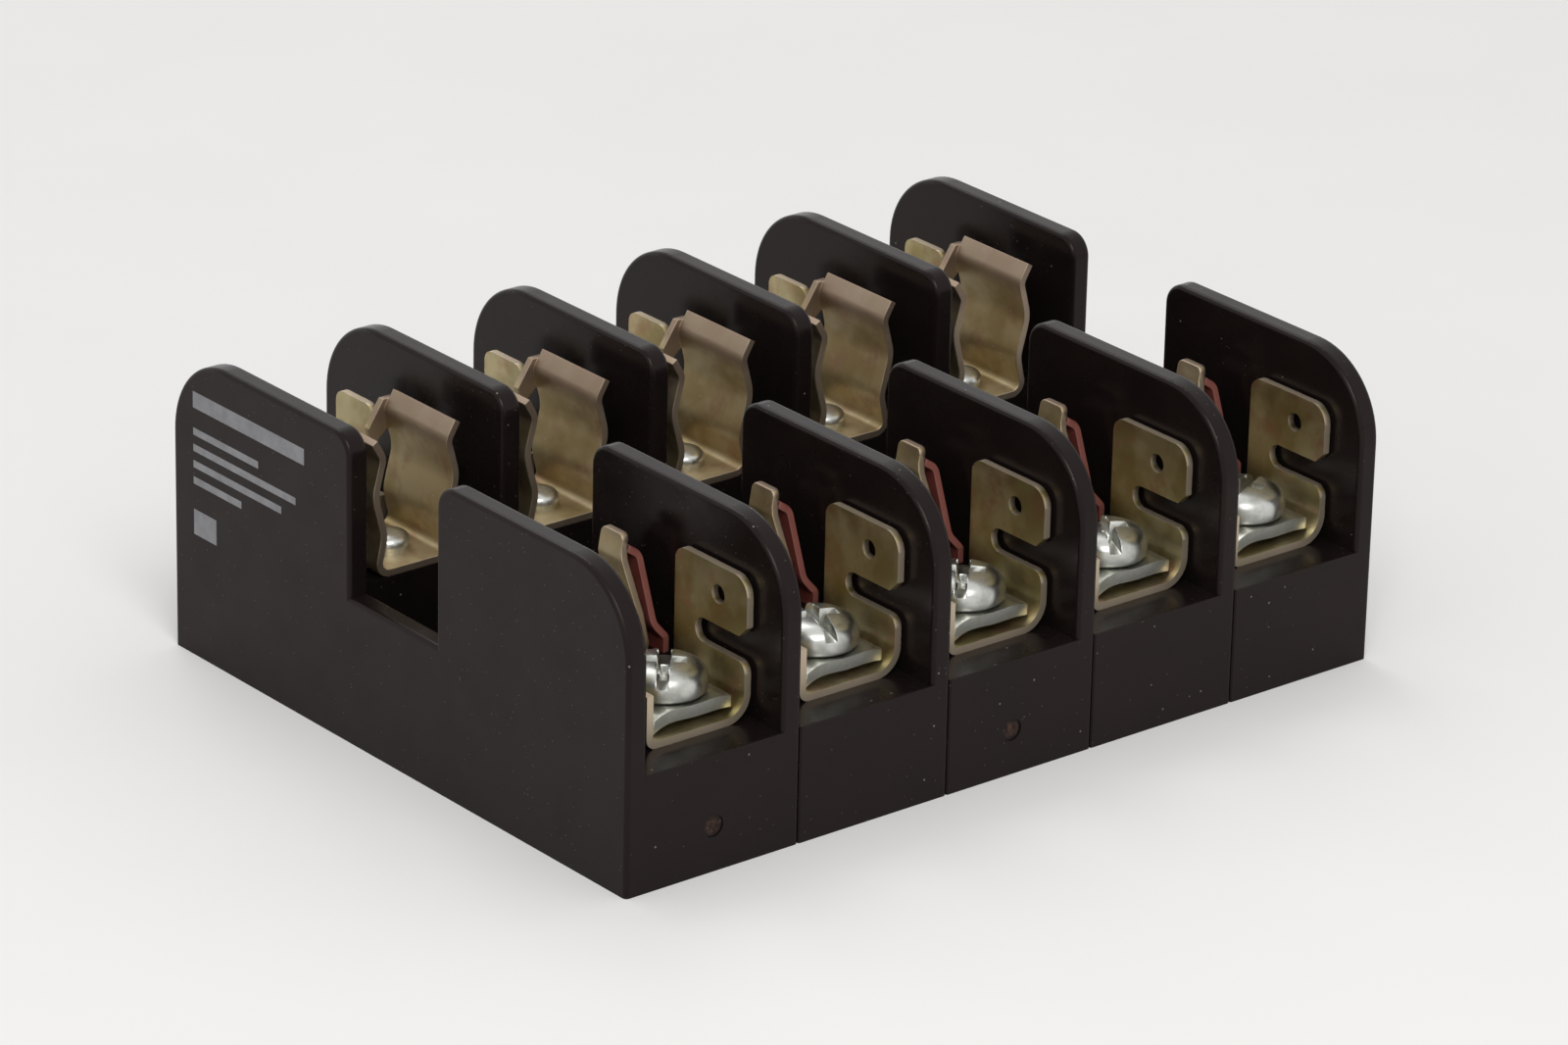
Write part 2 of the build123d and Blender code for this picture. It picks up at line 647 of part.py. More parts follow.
for index, x in enumerate(pole_places):
    number = index + 1
    here = Location((x, 0, 0))
    turned = Location((x, 0, 0), (0, 0, 180))
    if index == 0:
        module_shape = end_module
    elif index == 2:
        module_shape = marked_module
    else:
        module_shape = plain_module
    save(module_shape, f"pole_module_{number}", here)
    save(terminal.part, f"front_terminal_{number}", here)
    save(terminal.part, f"rear_terminal_{number}", turned)
    save(front_clip.part, f"front_clip_{number}", here)
    save(rear_clip.part, f"rear_clip_{number}", here)
    save(rejection_piece.part, f"rejection_piece_{number}", here)
    front_axis = Location((x + screw_x, screw_y, 0))
    rear_axis = Location((x - screw_x, -screw_y, 0), (0, 0, 180))
    save(pressure_plate.part, f"front_pressure_plate_{number}", front_axis)
    save(pressure_plate.part, f"rear_pressure_plate_{number}", rear_axis)
    front_turn = FRONT_SCREW_TURNS[index % len(FRONT_SCREW_TURNS)]
    rear_turn = REAR_SCREW_TURNS[index % len(REAR_SCREW_TURNS)]
    save(
        terminal_screw.part,
        f"front_screw_{number}",
        Location((x + screw_x, screw_y, 0), (0, 0, front_turn)),
    )
    save(
        terminal_screw.part,
        f"rear_screw_{number}",
        Location((x - screw_x, -screw_y, 0), (0, 0, rear_turn)),
    )

save(clip_rivets.part, "clip_rivets", Location((0, 0, 0)))
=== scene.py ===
# %% [markdown]
# A five-pole open fuse block, dressed for looks. The solids come from the CAD model and keep their
# places. This file gives them finishes, makes the threaded screws and the softened sheet edges
# that the solids leave out, and sets up a plain studio. Lengths are in metres, as Blender and the
# frame use them, and sizes from a drawing are written in millimetres times MM.

import json
import math

import bmesh
import bpy
import numpy as np
from mathutils import Matrix, Vector

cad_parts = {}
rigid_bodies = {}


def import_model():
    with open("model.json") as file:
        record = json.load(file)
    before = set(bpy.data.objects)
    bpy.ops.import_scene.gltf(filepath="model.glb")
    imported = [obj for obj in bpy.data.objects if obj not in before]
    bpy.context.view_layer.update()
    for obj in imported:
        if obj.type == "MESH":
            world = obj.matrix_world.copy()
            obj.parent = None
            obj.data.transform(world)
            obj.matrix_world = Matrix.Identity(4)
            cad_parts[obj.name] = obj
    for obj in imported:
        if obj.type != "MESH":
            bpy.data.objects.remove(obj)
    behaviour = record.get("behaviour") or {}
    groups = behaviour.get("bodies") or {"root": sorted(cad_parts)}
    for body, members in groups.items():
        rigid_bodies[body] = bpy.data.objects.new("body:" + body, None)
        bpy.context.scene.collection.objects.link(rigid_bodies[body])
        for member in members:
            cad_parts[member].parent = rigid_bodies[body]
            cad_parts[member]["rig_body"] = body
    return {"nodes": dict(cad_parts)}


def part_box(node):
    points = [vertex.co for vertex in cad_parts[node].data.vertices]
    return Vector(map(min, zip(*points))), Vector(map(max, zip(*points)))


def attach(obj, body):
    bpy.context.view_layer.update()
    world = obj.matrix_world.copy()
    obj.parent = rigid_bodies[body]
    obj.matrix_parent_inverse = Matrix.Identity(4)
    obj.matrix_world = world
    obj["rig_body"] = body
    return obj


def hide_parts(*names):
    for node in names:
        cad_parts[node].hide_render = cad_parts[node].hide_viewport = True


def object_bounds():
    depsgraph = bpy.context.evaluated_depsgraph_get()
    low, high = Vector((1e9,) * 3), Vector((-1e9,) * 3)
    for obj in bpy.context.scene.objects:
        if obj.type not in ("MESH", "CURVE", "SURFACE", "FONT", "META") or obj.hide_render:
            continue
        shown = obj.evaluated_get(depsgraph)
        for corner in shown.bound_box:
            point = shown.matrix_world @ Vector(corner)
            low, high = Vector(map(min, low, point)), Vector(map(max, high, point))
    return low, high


MM = 0.001
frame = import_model()
nodes = frame["nodes"]
cad_low, cad_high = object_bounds()
print(len(nodes), "nodes in a box of", [round((b - a) / MM, 2) for a, b in zip(cad_low, cad_high)], "mm")

# %% [markdown]
# Two helpers serve every finish. The first turns a screen colour, written as a hex value, into
# the linear numbers that light is computed with. The second adds one node to a material, sets
# its options and fills or links its inputs, so that a finish reads as a short list of layers.


# %% Colour and node helpers
def linear(hex_value):
    """Screen colour to linear light: each channel above 0.04 follows a power of 2.4."""
    channels = np.array([int(hex_value[i : i + 2], 16) for i in (1, 3, 5)]) / 255
    low = channels / 12.92
    high = ((channels + 0.055) / 1.055) ** 2.4
    return (*np.where(channels <= 0.04045, low, high).tolist(), 1.0)


def add(tree, kind, inputs=None, **settings):
    """Add a node, set its options, and fill each input with a value or a link."""
    node = tree.nodes.new(kind)
    for key, value in settings.items():
        setattr(node, key, value)
    for key, value in (inputs or {}).items():
        if isinstance(value, bpy.types.NodeSocket):
            tree.links.new(value, node.inputs[key])
        else:
            node.inputs[key].default_value = value
    return node


def start_finish(name):
    """A new material with its surface shader, and the position on the piece that patterns read."""
    material = bpy.data.materials.new(name)
    material.use_nodes = True
    tree = material.node_tree
    tree.nodes.clear()
    shader = add(tree, "ShaderNodeBsdfPrincipled")
    add(tree, "ShaderNodeOutputMaterial", {"Surface": shader.outputs["BSDF"]})
    coordinates = add(tree, "ShaderNodeTexCoord")
    return material, tree, shader, coordinates


def noise(tree, place, size, detail=3.0, roughness=0.55):
    """Cloudy pattern whose blobs are about the given size, in metres."""
    settings = {"Vector": place, "Scale": 1 / size, "Detail": detail, "Roughness": roughness}
    return add(tree, "ShaderNodeTexNoise", settings).outputs["Fac"]


def ramp(tree, value, low, high, out_low=0.0, out_high=1.0):
    """Straight-line change from out_low to out_high while value goes from low to high."""
    settings = {"Value": value, "From Min": low, "From Max": high, "To Min": out_low, "To Max": out_high}
    return add(tree, "ShaderNodeMapRange", settings).outputs["Result"]


def blend(tree, amount, first, second):
    """Colour between two colours."""
    settings = {0: amount, 6: first, 7: second}
    return add(tree, "ShaderNodeMix", settings, data_type="RGBA").outputs[2]


def combine(tree, operation, first, second):
    """One sum, product, comparison or larger-of on two numbers."""
    return add(tree, "ShaderNodeMath", {0: first, 1: second}, operation=operation).outputs[0]


print("black on screen is", [round(c, 4) for c in linear("#1c1819")[:3]], "in linear light")

# %% [markdown]
# Dust and small pits show on the real black moulding as pale pinpoints a tenth of a millimetre
# wide. A Voronoi pattern gives one point to each cell. Only cells whose random number is high get
# a speck, so the specks look scattered and not ruled.


# %% Specks
def specks(tree, place, cell, radius, share):
    """1 on small round specks, 0 elsewhere: one in a share of the cells, each of that radius."""
    settings = {"Vector": place, "Scale": 1 / cell}
    voronoi = add(tree, "ShaderNodeTexVoronoi", settings)
    near = combine(tree, "LESS_THAN", voronoi.outputs["Distance"], radius / cell)
    picked = add(tree, "ShaderNodeSeparateColor", {"Color": voronoi.outputs["Color"]})
    chosen = combine(tree, "GREATER_THAN", picked.outputs["Red"], 1 - share)
    return combine(tree, "MULTIPLY", near, chosen)


# %% [markdown]
# The housing is compression-moulded phenolic: near black with a trace of brown. The mould was
# polished where it forms the pockets, so the faces between the barriers are glossy. The outer
# ends and sides are satin, and they take the light of the table as a soft dark grey. The satin
# grain is about 0.15 mm and the gloss faces have a shallow ripple of about 2 mm. The mould's
# ejector pins left two round marks on the front face, and both look stained with brown.

# %% Phenolic housing
HALF_ROW = cad_high.x
HALF_LENGTH = cad_high.y
OUTER_SKIN = 0.25 * MM
PRINT_DEPTH = 0.05 * MM
EJECTOR_MARKS = ((-38.1, 4.9), (0.0, 4.9))
STAIN_RADIUS = 1.1 * MM
LOOKS_LEFT = -0.9

# Pale ink fields on the left end face: nearest and farthest Y, lowest and highest Z, in millimetres
INK_FIELDS = (
    (15.0, 34.5, 27.6, 29.4),
    (23.0, 34.5, 24.6, 25.4),
    (16.5, 34.5, 22.8, 23.6),
    (19.0, 34.5, 21.0, 21.8),
    (26.0, 34.5, 19.2, 20.0),
    (30.5, 34.5, 13.6, 16.4),
)


def phenolic(name, has_ink):
    """Moulded black phenolic, satin outside and glossy in the pockets."""
    material, tree, shader, coordinates = start_finish(name)
    place = coordinates.outputs["Object"]
    axis = add(tree, "ShaderNodeSeparateXYZ", {"Vector": place})
    facing = add(tree, "ShaderNodeSeparateXYZ", {"Vector": coordinates.outputs["Normal"]})
    beyond = [
        combine(tree, "GREATER_THAN", combine(tree, "ABSOLUTE", axis.outputs[key], 0.0), limit - OUTER_SKIN)
        for key, limit in (("X", HALF_ROW), ("Y", HALF_LENGTH))
    ]
    satin = combine(tree, "MAXIMUM", *beyond)
    mottle = noise(tree, place, 7 * MM)
    dark = blend(tree, mottle, linear("#120e0e"), linear("#1b1514"))
    dust = specks(tree, place, 1.6 * MM, 0.11 * MM, 0.45)
    fine_dust = specks(tree, place, 0.8 * MM, 0.06 * MM, 0.4)
    colour = blend(tree, combine(tree, "MULTIPLY", dust, 0.6), dark, linear("#8d857e"))
    colour = blend(tree, combine(tree, "MULTIPLY", fine_dust, 0.35), colour, linear("#8d857e"))
    blot = ramp(tree, noise(tree, place, 0.7 * MM, detail=4.0), 0.4, 0.6)
    for mark_x, mark_z in EJECTOR_MARKS:
        mark = (mark_x * MM, -HALF_LENGTH, mark_z * MM)
        away = add(tree, "ShaderNodeVectorMath", {0: place, 1: mark}, operation="DISTANCE").outputs["Value"]
        stain = ramp(tree, away, STAIN_RADIUS, 0.5 * STAIN_RADIUS, 0.0, 0.5)
        colour = blend(tree, combine(tree, "MULTIPLY", stain, blot), colour, linear("#5f4236"))
    smear = noise(tree, place, 5 * MM, detail=4.0)
    gloss_roughness = ramp(tree, smear, 0.35, 0.7, 0.20, 0.32)
    satin_roughness = ramp(tree, smear, 0.3, 0.7, 0.36, 0.46)
    roughness = add(tree, "ShaderNodeMix", {0: satin, 2: gloss_roughness, 3: satin_roughness}).outputs[0]
    grain = noise(tree, place, 0.15 * MM, detail=2.0)
    ripple = noise(tree, place, 2.2 * MM, detail=1.0)
    relief = add(tree, "ShaderNodeMix", {0: satin, 2: ripple, 3: grain}).outputs[0]
    bump = add(tree, "ShaderNodeBump", {"Height": relief, "Strength": 0.10, "Distance": 0.05 * MM})
    if has_ink:
        # Screen-printed ink sits only on the flat left end face, and is a little worn
        ink = combine(tree, "LESS_THAN", facing.outputs["X"], LOOKS_LEFT)
        on_end = combine(tree, "LESS_THAN", axis.outputs["X"], -HALF_ROW + PRINT_DEPTH)
        fields = 0.0
        for near_y, far_y, low_z, high_z in INK_FIELDS:
            field = on_end
            for key, low, high in (("Y", near_y, far_y), ("Z", low_z, high_z)):
                above = combine(tree, "GREATER_THAN", axis.outputs[key], low * MM)
                below = combine(tree, "LESS_THAN", axis.outputs[key], high * MM)
                field = combine(tree, "MULTIPLY", field, combine(tree, "MULTIPLY", above, below))
            fields = combine(tree, "MAXIMUM", fields, field)
        wear = ramp(tree, noise(tree, place, 1.5 * MM, detail=5.0), 0.2, 0.7, 1.0, 0.7)
        ink = combine(tree, "MULTIPLY", combine(tree, "MULTIPLY", ink, fields), wear)
        colour = blend(tree, ink, colour, linear("#8f8f92"))
        roughness = add(tree, "ShaderNodeMix", {0: ink, 2: roughness, 3: 0.55}).outputs[0]
    tree.links.new(colour, shader.inputs["Base Color"])
    tree.links.new(roughness, shader.inputs["Roughness"])
    tree.links.new(bump.outputs["Normal"], shader.inputs["Normal"])
    shader.inputs["IOR"].default_value = 1.5
    shader.inputs["Specular IOR Level"].default_value = 0.16
    shader.inputs["Specular Tint"].default_value = linear("#fbe9e2")
    return material


plain_phenolic = phenolic("phenolic_black", has_ink=False)
printed_phenolic = phenolic("phenolic_black_printed", has_ink=True)
print("ink fields on the left end face:", len(INK_FIELDS))

# %% [markdown]
# The terminals and clips are punched and bent from steel sheet, zinc plated and passivated
# yellow. That film is thin, so its colour drifts from olive to straw and, in places, to rust
# pink, over a few millimetres. Rolling left fine lines along the sheet. Faces that look along the
# length of the block, which are mostly the punched cut edges, and faces that look straight up at
# the top of a wall are duller and painted paler: a painted highlight where the lamps catch them.
# The lips at the top of the clips are browner and pinker than the leaves below them.


# %% Passivated sheet
LIPS_FROM = 26.5 * MM
LIPS_FADE = 1.5 * MM
WALLS_FROM = 17.5 * MM


def passivated_sheet(name, shades, edge_highlight_shade, roughness_range, lip_shade=None):
    """Yellow-passivated sheet: three drifting shades, rolled grain, and a painted highlight on cut edges and
    high tops.
    """
    material, tree, shader, coordinates = start_finish(name)
    place = coordinates.outputs["Object"]
    axis = add(tree, "ShaderNodeSeparateXYZ", {"Vector": place})
    facing = add(tree, "ShaderNodeSeparateXYZ", {"Vector": coordinates.outputs["Normal"]})
    drift = noise(tree, place, 6 * MM, detail=3.0)
    colour = blend(tree, ramp(tree, drift, 0.42, 0.58), linear(shades[0]), linear(shades[1]))
    blush = ramp(tree, noise(tree, place, 3.5 * MM, detail=4.0, roughness=0.65), 0.52, 0.68)
    colour = blend(tree, combine(tree, "MULTIPLY", blush, 0.7), colour, linear(shades[2]))
    pale = specks(tree, place, 1.0 * MM, 0.09 * MM, 0.35)
    colour = blend(tree, combine(tree, "MULTIPLY", pale, 0.5), colour, linear("#efe6cf"))
    # Painted highlight: faces looking along the block, mostly cut edges, and tops high on the walls are
    # painted paler
    along = ramp(tree, combine(tree, "ABSOLUTE", facing.outputs["Y"], 0.0), 0.75, 0.95)
    upward = ramp(tree, facing.outputs["Z"], 0.8, 0.95)
    high_up = combine(tree, "GREATER_THAN", axis.outputs["Z"], WALLS_FROM)
    cut_edge_highlight = combine(tree, "MAXIMUM", along, combine(tree, "MULTIPLY", upward, high_up))
    colour = blend(tree, combine(tree, "MULTIPLY", cut_edge_highlight, 0.75), colour, linear(edge_highlight_shade))
    if lip_shade:
        on_lips = ramp(tree, axis.outputs["Z"], LIPS_FROM, LIPS_FROM + LIPS_FADE, 0.0, 0.8)
        colour = blend(tree, on_lips, colour, linear(lip_shade))
    # Rolled grain: noise squeezed across the sheet so that its streaks run up the walls
    squeezed = add(tree, "ShaderNodeMapping", {"Vector": place, "Scale": (1.0, 1.0, 0.12)})
    grain = noise(tree, squeezed.outputs["Vector"], 0.25 * MM, detail=2.0)
    smear = noise(tree, place, 2.5 * MM, detail=4.0)
    roughness = ramp(tree, smear, 0.3, 0.7, *roughness_range)
    roughness = add(tree, "ShaderNodeMix", {0: cut_edge_highlight, 2: roughness, 3: 0.5}).outputs[0]
    bump = add(tree, "ShaderNodeBump", {"Height": grain, "Strength": 0.18, "Distance": 0.02 * MM})
    tree.links.new(colour, shader.inputs["Base Color"])
    tree.links.new(roughness, shader.inputs["Roughness"])
    tree.links.new(bump.outputs["Normal"], shader.inputs["Normal"])
    shader.inputs["Metallic"].default_value = 1.0
    return material


# The pale shade after the three drifting shades is the painted highlight of the cut edges and tops
terminal_sheet = passivated_sheet(
    "zinc_yellow_passivated_sheet", ("#a09164", "#b9ac86", "#ab8168"), "#d2c3b0", (0.36, 0.52)
)
clip_sheet = passivated_sheet(
    "zinc_olive_passivated_spring", ("#ad9b74", "#c0b190", "#ab8a73"), "#a7978a", (0.44, 0.58), "#907e70"
)
print("sheet finishes:", terminal_sheet.name, clip_sheet.name)

# %% [markdown]
# Screws, pressure plates and rivets are steel with bright zinc and a clear, faintly blue
# passivation. They were tumbled in a barrel, so they are shiny but soft, with dull patches of a
# millimetre or two, and small dents instead of brush lines.


# %% Bright zinc
def bright_zinc(name, shade, patch_shade, roughness_range):
    """Barrel-plated zinc: a bright grey with duller patches and fine tumbling dents."""
    material, tree, shader, coordinates = start_finish(name)
    place = coordinates.outputs["Object"]
    patches = ramp(tree, noise(tree, place, 1.6 * MM, detail=4.0), 0.42, 0.66)
    colour = blend(tree, patches, linear(shade), linear(patch_shade))
    roughness = ramp(tree, patches, 0.0, 1.0, *roughness_range)
    dents = noise(tree, place, 0.9 * MM, detail=2.0)
    bump = add(tree, "ShaderNodeBump", {"Height": dents, "Strength": 0.12, "Distance": 0.03 * MM})
    tree.links.new(colour, shader.inputs["Base Color"])
    tree.links.new(roughness, shader.inputs["Roughness"])
    tree.links.new(bump.outputs["Normal"], shader.inputs["Normal"])
    shader.inputs["Metallic"].default_value = 1.0
    return material


screw_zinc = bright_zinc("zinc_bright_screw", "#c6c7c2", "#abaca5", (0.28, 0.42))
plate_zinc = bright_zinc("zinc_bright_plate", "#bfc0b9", "#a2a399", (0.32, 0.46))
print("zinc finishes:", screw_zinc.name, plate_zinc.name)

# %% [markdown]
# The rejection piece beside each front clip is steel with a dull red coating. Its faces that
# look along the block, mostly the cut edges, are painted a paler, pinker red: a painted highlight.

# %% Red coating
red_coating, tree, shader, coordinates = start_finish("coating_dull_red")
place = coordinates.outputs["Object"]
cloud = noise(tree, place, 2.0 * MM, detail=4.0)
red = blend(tree, cloud, linear("#5a2722"), linear("#784039"))
facing = add(tree, "ShaderNodeSeparateXYZ", {"Vector": coordinates.outputs["Normal"]})
# Painted highlight: faces looking along the block, mostly cut edges, get a paler, pinker red
red_edge_highlight = ramp(tree, combine(tree, "ABSOLUTE", facing.outputs["Y"], 0.0), 0.75, 0.95)
red = blend(tree, combine(tree, "MULTIPLY", red_edge_highlight, 0.45), red, linear("#986459"))
pits = noise(tree, place, 0.3 * MM, detail=2.0)
bump = add(tree, "ShaderNodeBump", {"Height": pits, "Strength": 0.2, "Distance": 0.03 * MM})
tree.links.new(red, shader.inputs["Base Color"])
tree.links.new(ramp(tree, cloud, 0.3, 0.7, 0.34, 0.5), shader.inputs["Roughness"])
tree.links.new(bump.outputs["Normal"], shader.inputs["Normal"])
shader.inputs["IOR"].default_value = 1.5
print("coating:", red_coating.name)

# %% [markdown]
# Each CAD solid now gets the finish of its kind. The kind is the solid's name without its number.
# Only the left module carries the printed face.

# %% Dress the solids
FINISHES = {
    "pole_module": plain_phenolic,
    "front_terminal": terminal_sheet,
    "rear_terminal": terminal_sheet,
    "front_clip": clip_sheet,
    "rear_clip": clip_sheet,
    "rejection_piece": red_coating,
    "front_pressure_plate": plate_zinc,
    "rear_pressure_plate": plate_zinc,
    "front_screw": screw_zinc,
    "rear_screw": screw_zinc,
    "clip_rivets": screw_zinc,
}


def finish_for(name):
    """Finish of a node, from its name without the number."""
    if name == "pole_module_1":
        return printed_phenolic
    return FINISHES[name.rstrip("0123456789").rstrip("_")]


for name, node in nodes.items():
    node.data.materials.clear()
    node.data.materials.append(finish_for(name))
print("dressed", len(nodes), "solids")

# %% [markdown]
# Real sheet metal has no knife edges: punching and tumbling round them by about a tenth of a
# millimetre, and that thin band catches a bright line of light. So each metal solid is copied,
# its doubled points are merged, and a bevel follows every edge sharper than 40 degrees. The copy
# stands in for its solid and rides on the same body.

# %% Softened edges
EDGE_ROUND = 0.12 * MM
MERGE_DISTANCE = 0.002 * MM
SHARP_ANGLE = math.radians(40)


def soften(name, mesh, edge_round):
    """A piece that stands in for the node: the mesh with its sharp edges rounded."""
    piece = bpy.data.objects.new(name + "_finished", mesh)
    bpy.context.scene.collection.objects.link(piece)
    bevel = piece.modifiers.new("edge_round", "BEVEL")
    bevel.width = edge_round
    bevel.segments = 2
    bevel.limit_method = "ANGLE"
    bevel.angle_limit = SHARP_ANGLE
    bevel.use_clamp_overlap = True
    flatten = piece.modifiers.new("flat_faces", "WEIGHTED_NORMAL")
    flatten.keep_sharp = True
    flatten.weight = 100
    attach(piece, nodes[name]["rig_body"])
    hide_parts(name)
    return piece


def loose_copy(name):
    """A copy of the node's mesh without the corner normals that came with the import."""
    mesh = nodes[name].data.copy()
    if "custom_normal" in mesh.attributes:
        mesh.attributes.remove(mesh.attributes["custom_normal"])
    return mesh


def merged_copy(name):
    """The node's mesh with its loose triangles joined at shared points, shaded smooth."""
    mesh = loose_copy(name)
    cell = bmesh.new()
    cell.from_mesh(mesh)
    bmesh.ops.remove_doubles(cell, verts=cell.verts, dist=MERGE_DISTANCE)
    bmesh.ops.dissolve_limit(
        cell, angle_limit=math.radians(0.5), verts=cell.verts, edges=cell.edges, delimit={"NORMAL"}
    )
    for face in cell.faces:
        face.smooth = True
    cell.to_mesh(mesh)
    cell.free()
    return mesh


SHEET_KINDS = ("terminal", "clip_", "plate")
for name in list(nodes):
    if name != "clip_rivets" and any(kind in name for kind in SHEET_KINDS):
        soften(name, merged_copy(name), EDGE_ROUND)
for name in list(nodes):
    if name.startswith("rejection_piece"):
        soften(name, merged_copy(name), EDGE_ROUND)

# %% [markdown]
# The screws are No. 8 with 32 threads to the inch. The solids have plain shanks, so here each
# shank becomes a real thread. It is one surface of two parameters, the angle and the height, and
# its radius follows a triangle wave that climbs one pitch in a turn. The head is the solid's own
# head, cut off just below its underside and closed.

# %% Threaded screws
THREAD_PITCH = 25.4 / 32 * MM
THREAD_CREST = 2.08 * MM
THREAD_ROOT = 1.62 * MM
ROWS_PER_PITCH = 8
COLUMNS = 36
HEAD_EDGE_ROUND = 0.10 * MM
HEAD_STARTS = 1.5 * THREAD_CREST
CUT_BELOW_HEAD = 0.05 * MM
REACH_INTO_HEAD = 0.4 * MM


def thread(centre_x, centre_y, low, high):
    """Threaded shank: radius = root + depth x (1 - |triangle wave of height / pitch - angle / turn|).

    The wave fades out over the lowest pitch, so the tip is tapered, and both ends close in a point.
    """
    rows = int((high - low) / THREAD_PITCH * ROWS_PER_PITCH)
    height = np.linspace(low, high, rows)[:, None]
    angle = np.linspace(0, 2 * np.pi, COLUMNS, endpoint=False)[None, :]
    phase = (height / THREAD_PITCH - angle / (2 * np.pi)) % 1.0
    ridge = np.clip(1.25 * (1 - np.abs(2 * phase - 1)), 0, 1)
    lead_in = np.clip((height - low) / THREAD_PITCH, 0, 1)
    radius = THREAD_ROOT * (0.8 + 0.2 * lead_in) + (THREAD_CREST - THREAD_ROOT) * ridge * lead_in
    points = np.stack(
        [centre_x + radius * np.cos(angle), centre_y + radius * np.sin(angle), height + 0 * angle], axis=-1
    ).reshape(-1, 3)
    here = np.arange(rows * COLUMNS).reshape(rows, COLUMNS)
    right = np.roll(here, -1, axis=1)
    walls = np.stack([here[:-1], right[:-1], right[1:], here[1:]], axis=-1).reshape(-1, 4)
    ends = np.array([[centre_x, centre_y, low], [centre_x, centre_y, high]])
    bottom, top = len(points), len(points) + 1
    fans = [[bottom, b, a] for a, b in zip(here[0], right[0])]
    fans += [[top, a, b] for a, b in zip(here[-1], right[-1])]
    return np.vstack([points, ends]).tolist(), walls.tolist() + fans


def make_screw(name):
    """Head from the solid, closed below, with a threaded shank that reaches up into it."""
    low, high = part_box(name)
    centre_x, centre_y = (low.x + high.x) / 2, (low.y + high.y) / 2
    mesh = loose_copy(name)
    cell = bmesh.new()
    cell.from_mesh(mesh)
    bmesh.ops.remove_doubles(cell, verts=cell.verts, dist=MERGE_DISTANCE)
    rim = [v.co.z for v in cell.verts if math.hypot(v.co.x - centre_x, v.co.y - centre_y) > HEAD_STARTS]
    underside = min(rim)
    everything = cell.verts[:] + cell.edges[:] + cell.faces[:]
    cut_at = (0, 0, underside - CUT_BELOW_HEAD)
    cut = bmesh.ops.bisect_plane(cell, geom=everything, plane_co=cut_at, plane_no=(0, 0, 1), clear_inner=True)
    loop = [item for item in cut["geom_cut"] if isinstance(item, bmesh.types.BMEdge)]
    bmesh.ops.contextual_create(cell, geom=loop)
    for face in cell.faces:
        face.smooth = True
    cell.to_mesh(mesh)
    cell.free()
    piece = soften(name, mesh, HEAD_EDGE_ROUND)
    points, faces = thread(centre_x, centre_y, low.z, underside + REACH_INTO_HEAD)
    shank_mesh = bpy.data.meshes.new(name + "_thread")
    shank_mesh.from_pydata(points, [], faces)
    shank_mesh.polygons.foreach_set("use_smooth", [True] * len(faces))
    shank_mesh.materials.append(screw_zinc)
    shank = bpy.data.objects.new(name + "_thread", shank_mesh)
    bpy.context.scene.collection.objects.link(shank)
    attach(shank, nodes[name]["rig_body"])
    return piece, shank


screws = [make_screw(name) for name in list(nodes) if "_screw_" in name]
print("screws:", len(screws), "with", len(screws[0][1].data.polygons), "faces on each thread")

# %% [markdown]
# The block stands on a plain pale table, wide enough to fill the view from any side.

# %% Table
TABLE_HALF = 3.0
TABLE_DROP = 0.02 * MM
bpy.ops.mesh.primitive_plane_add(size=2 * TABLE_HALF, location=(0, 0, -TABLE_DROP))
table = bpy.context.object
table.name = "table"
paper, tree, shader, coordinates = start_finish("paper_white")
fibre = noise(tree, coordinates.outputs["Object"], 40 * MM)
tree.links.new(blend(tree, fibre, linear("#f1f0ee"), linear("#f6f5f3")), shader.inputs["Base Color"])
shader.inputs["Roughness"].default_value = 0.9
shader.inputs["Specular IOR Level"].default_value = 0.1
table.data.materials.append(paper)
print("table", 2 * TABLE_HALF, "m wide")

# %% [markdown]
# The light is a white room: an even glow from all round, a broad soft lamp high in front to the
# left, and a second one behind that draws the pale lines on the barriers' top edges. The camera
# and mirror-like rays see the room at full white, while its glow on the block is dimmer.

# %% Light
ROOM_GLOW = 0.6
world = bpy.data.worlds.new("white_room")
bpy.context.scene.world = world
world.use_nodes = True
tree = world.node_tree
tree.nodes.clear()
seen = add(tree, "ShaderNodeLightPath")
direct = combine(tree, "MAXIMUM", seen.outputs["Is Camera Ray"], seen.outputs["Is Transmission Ray"])
direct = combine(tree, "MAXIMUM", direct, seen.outputs["Is Glossy Ray"])
strength = ramp(tree, direct, 0.0, 1.0, ROOM_GLOW, 1.0)
background = add(tree, "ShaderNodeBackground", {"Color": (1, 1, 1, 1), "Strength": strength})
add(tree, "ShaderNodeOutputWorld", {"Surface": background.outputs["Background"]})


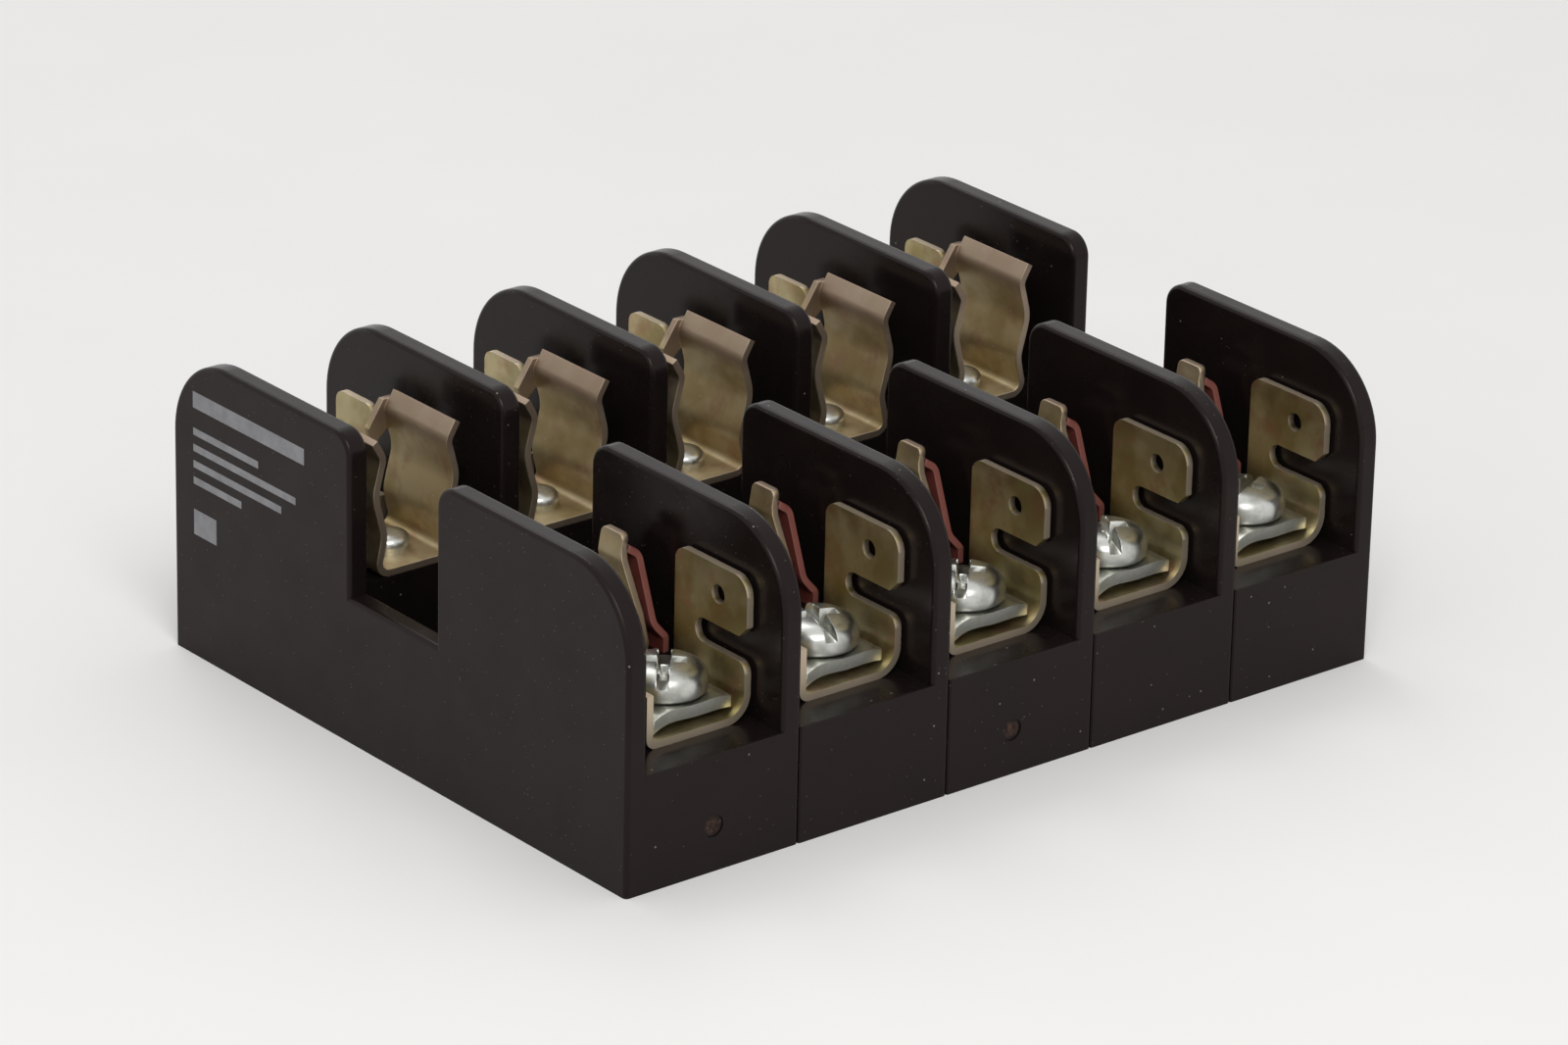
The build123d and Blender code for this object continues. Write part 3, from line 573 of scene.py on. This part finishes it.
def soft_lamp(name, place, aim, size, power):
    """Square soft lamp at a place, turned to face the aim."""
    lamp = bpy.data.lights.new(name, "AREA")
    lamp.shape = "SQUARE"
    lamp.size = size
    lamp.energy = power
    holder = bpy.data.objects.new(name, lamp)
    bpy.context.scene.collection.objects.link(holder)
    holder.location = place
    holder.rotation_mode = "QUATERNION"
    holder.rotation_quaternion = (Vector(aim) - Vector(place)).to_track_quat("-Z", "Y")
    return holder


MIDDLE = (0, 0, 15 * MM)
soft_lamp("front_lamp", (-0.35, -0.55, 0.65), MIDDLE, 0.45, 3.6)
soft_lamp("back_lamp", (0.10, 0.55, 0.75), MIDDLE, 0.4, 1.0)

# %% [markdown]
# The camera stands where the photograph was taken from: in front and to the left, looking down
# a little, with a long lens. It is placed by its angles and by where the block's front left
# corner lands in its view, so no lens shift is needed.

# %% Camera
AZIMUTH = math.radians(39.43)
ELEVATION = math.radians(22.72)
ROLL = math.radians(-1.30)
CORNER_IN_VIEW = Vector((-15.28, 36.38, 700.77)) * MM
LENS = 166.94
towards = Vector(
    (-math.sin(AZIMUTH) * math.cos(ELEVATION), -math.cos(AZIMUTH) * math.cos(ELEVATION), math.sin(ELEVATION))
)
forward = -towards
level_right = forward.cross(Vector((0, 0, 1))).normalized()
level_down = forward.cross(level_right)
right = level_right * math.cos(ROLL) + level_down * math.sin(ROLL)
down = level_down * math.cos(ROLL) - level_right * math.sin(ROLL)
corner = Vector((-HALF_ROW, -HALF_LENGTH, 0))
eye = corner - right * CORNER_IN_VIEW.x - down * CORNER_IN_VIEW.y - forward * CORNER_IN_VIEW.z
camera_data = bpy.data.cameras.new("camera")
camera_data.lens = LENS
camera_data.sensor_width = 36
camera_data.clip_start = 0.05
camera_data.clip_end = 20
camera = bpy.data.objects.new("camera", camera_data)
bpy.context.scene.collection.objects.link(camera)
camera.matrix_world = Matrix.Translation(eye) @ Matrix((right, -down, -forward)).transposed().to_4x4()
bpy.context.scene.camera = camera
bpy.context.scene.view_settings.view_transform = "Standard"
print("camera", round(CORNER_IN_VIEW.z, 3), "m from the front left corner")
